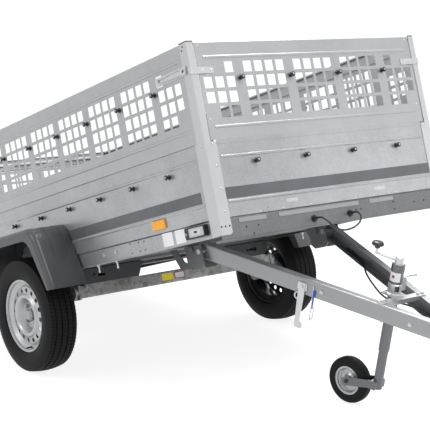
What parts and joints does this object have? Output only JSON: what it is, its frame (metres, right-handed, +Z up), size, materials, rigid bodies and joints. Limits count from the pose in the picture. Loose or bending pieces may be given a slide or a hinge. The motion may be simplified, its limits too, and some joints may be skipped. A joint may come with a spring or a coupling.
{
  "type": "utility trailer",
  "caption": "Single axle tipping box trailer of galvanised sheet steel with mesh extension sides, hinged gates, folding drawbar, jockey wheel and ball coupling, standing tipped",
  "frame": {"origin": "middle of the bounding box at ground level", "axes": "+X forward to the coupling, +Y left, +Z up; the load bed stands tipped nose up by 15 degrees"},
  "size_m": [3.5908, 1.6836, 1.5309],
  "materials": {
    "galvanised": "hot dip galvanised sheet steel, satin",
    "zinc": "zinc plated steel, satin",
    "rim_silver": "silver painted steel, semi gloss",
    "hub_steel": "grey cast iron with a zinc plated cap",
    "tyre_rubber": "black tyre rubber, matt",
    "guard_plastic": "dark blue grey moulded plastic, satin",
    "black_plastic": "black moulded plastic, satin",
    "lamp_clear": "clear lamp lens",
    "lamp_red": "red lamp lens",
    "amber": "amber reflector, gloss",
    "floor_sheet": "galvanised sheet steel, satin",
    "cable_black": "black cable sheath, satin"
  },
  "bodies": {
    "chassis": {"frame_rail_left": "galvanised", "frame_rail_right": "galvanised", "cross_members": "galvanised", "tail_bar": "galvanised", "floor_panel": "floor_sheet", "side_board_left": "galvanised", "side_board_right": "galvanised", "front_board": "galvanised", "lower_posts": "galvanised", "upper_posts": "galvanised", "post_caps": "black_plastic", "side_mesh_left": "galvanised", "side_mesh_right": "galvanised", "side_latches": "zinc", "rope_hooks": "black_plastic", "mudguard_left": "guard_plastic", "mudguard_right": "guard_plastic", "axle_beam": "galvanised", "trailing_arms": "galvanised", "knee_brackets": "galvanised", "marker_lamps": "black_plastic", "marker_lenses": "lamp_clear", "side_reflectors": "amber", "tail_lamps": "lamp_red", "cable_loop": "cable_black", "cable_grommets": "black_plastic", "rear_header": "galvanised", "gate_hinges": "zinc"},
    "front_gate": {"front_mesh": "galvanised", "front_gate_straps": "zinc", "front_gate_hooks": "black_plastic"},
    "tailgate": {"tailgate_board": "galvanised"},
    "rear_gate": {"rear_mesh": "galvanised"},
    "wheel_left": {"wheel_rim_left": "rim_silver", "wheel_tyre_left": "tyre_rubber", "wheel_hub_left": "hub_steel"},
    "wheel_right": {"wheel_rim_right": "rim_silver", "wheel_tyre_right": "tyre_rubber", "wheel_hub_right": "hub_steel"},
    "drawbar": {"drawbar_beam_left": "galvanised", "drawbar_beam_right": "galvanised", "knee_pins": "zinc", "jack_plate": "galvanised", "jack_clamp": "zinc", "jack_tube": "zinc", "jack_crank": "zinc", "crank_knob": "black_plastic", "coupling_head": "zinc", "coupling_handle": "zinc", "tilt_latch": "zinc", "latch_clip": "zinc", "drawbar_cable": "cable_black", "cable_plug": "black_plastic"},
    "jack_leg": {"jack_leg": "zinc"},
    "jockey_fork": {"jockey_fork": "zinc"},
    "jockey_wheel": {"jockey_rim": "zinc", "jockey_tyre": "tyre_rubber"}
  },
  "joints": [
    {"name": "wheel_left_spin", "type": "hinge", "parent": "chassis", "child": "wheel_left", "pos_m": [-0.28731, 0.7515, 0.27], "axis": [0, 1, 0], "continuous": true},
    {"name": "wheel_right_spin", "type": "hinge", "parent": "chassis", "child": "wheel_right", "pos_m": [-0.28731, -0.7515, 0.27], "axis": [0, 1, 0], "continuous": true},
    {"name": "bed_tilt", "type": "hinge", "parent": "chassis", "child": "drawbar", "pos_m": [0.54851, 0, 0.63217], "axis": [0, -1, 0], "range_deg": [-3, 23.5]},
    {"name": "jack_height", "type": "slide", "parent": "drawbar", "child": "jack_leg", "axis": [0.2187, 0, 0.9758], "range_m": [-0.1, 0.12]},
    {"name": "jockey_swivel", "type": "hinge", "parent": "jack_leg", "child": "jockey_fork", "pos_m": [1.2126, 0, 0.12467], "axis": [0.2187, 0, 0.9758], "continuous": true},
    {"name": "jockey_wheel_spin", "type": "hinge", "parent": "jockey_fork", "child": "jockey_wheel", "pos_m": [1.06709, -0.01921, 0.10026], "axis": [-0.1358, 0.9903, 0.0304], "continuous": true},
    {"name": "front_gate_hinge", "type": "hinge", "parent": "chassis", "child": "front_gate", "pos_m": [0.89508, 0, 1.15752], "axis": [0, 1, 0], "range_deg": [0, 90]},
    {"name": "tailgate_hinge", "type": "hinge", "parent": "chassis", "child": "tailgate", "pos_m": [-1.61323, 0, 0.15358], "axis": [0, -1, 0], "range_deg": [0, 90]},
    {"name": "rear_gate_hinge", "type": "hinge", "parent": "chassis", "child": "rear_gate", "pos_m": [-1.78938, 0, 0.81243], "axis": [0, 1, 0], "range_deg": [0, 90]}
  ]
}
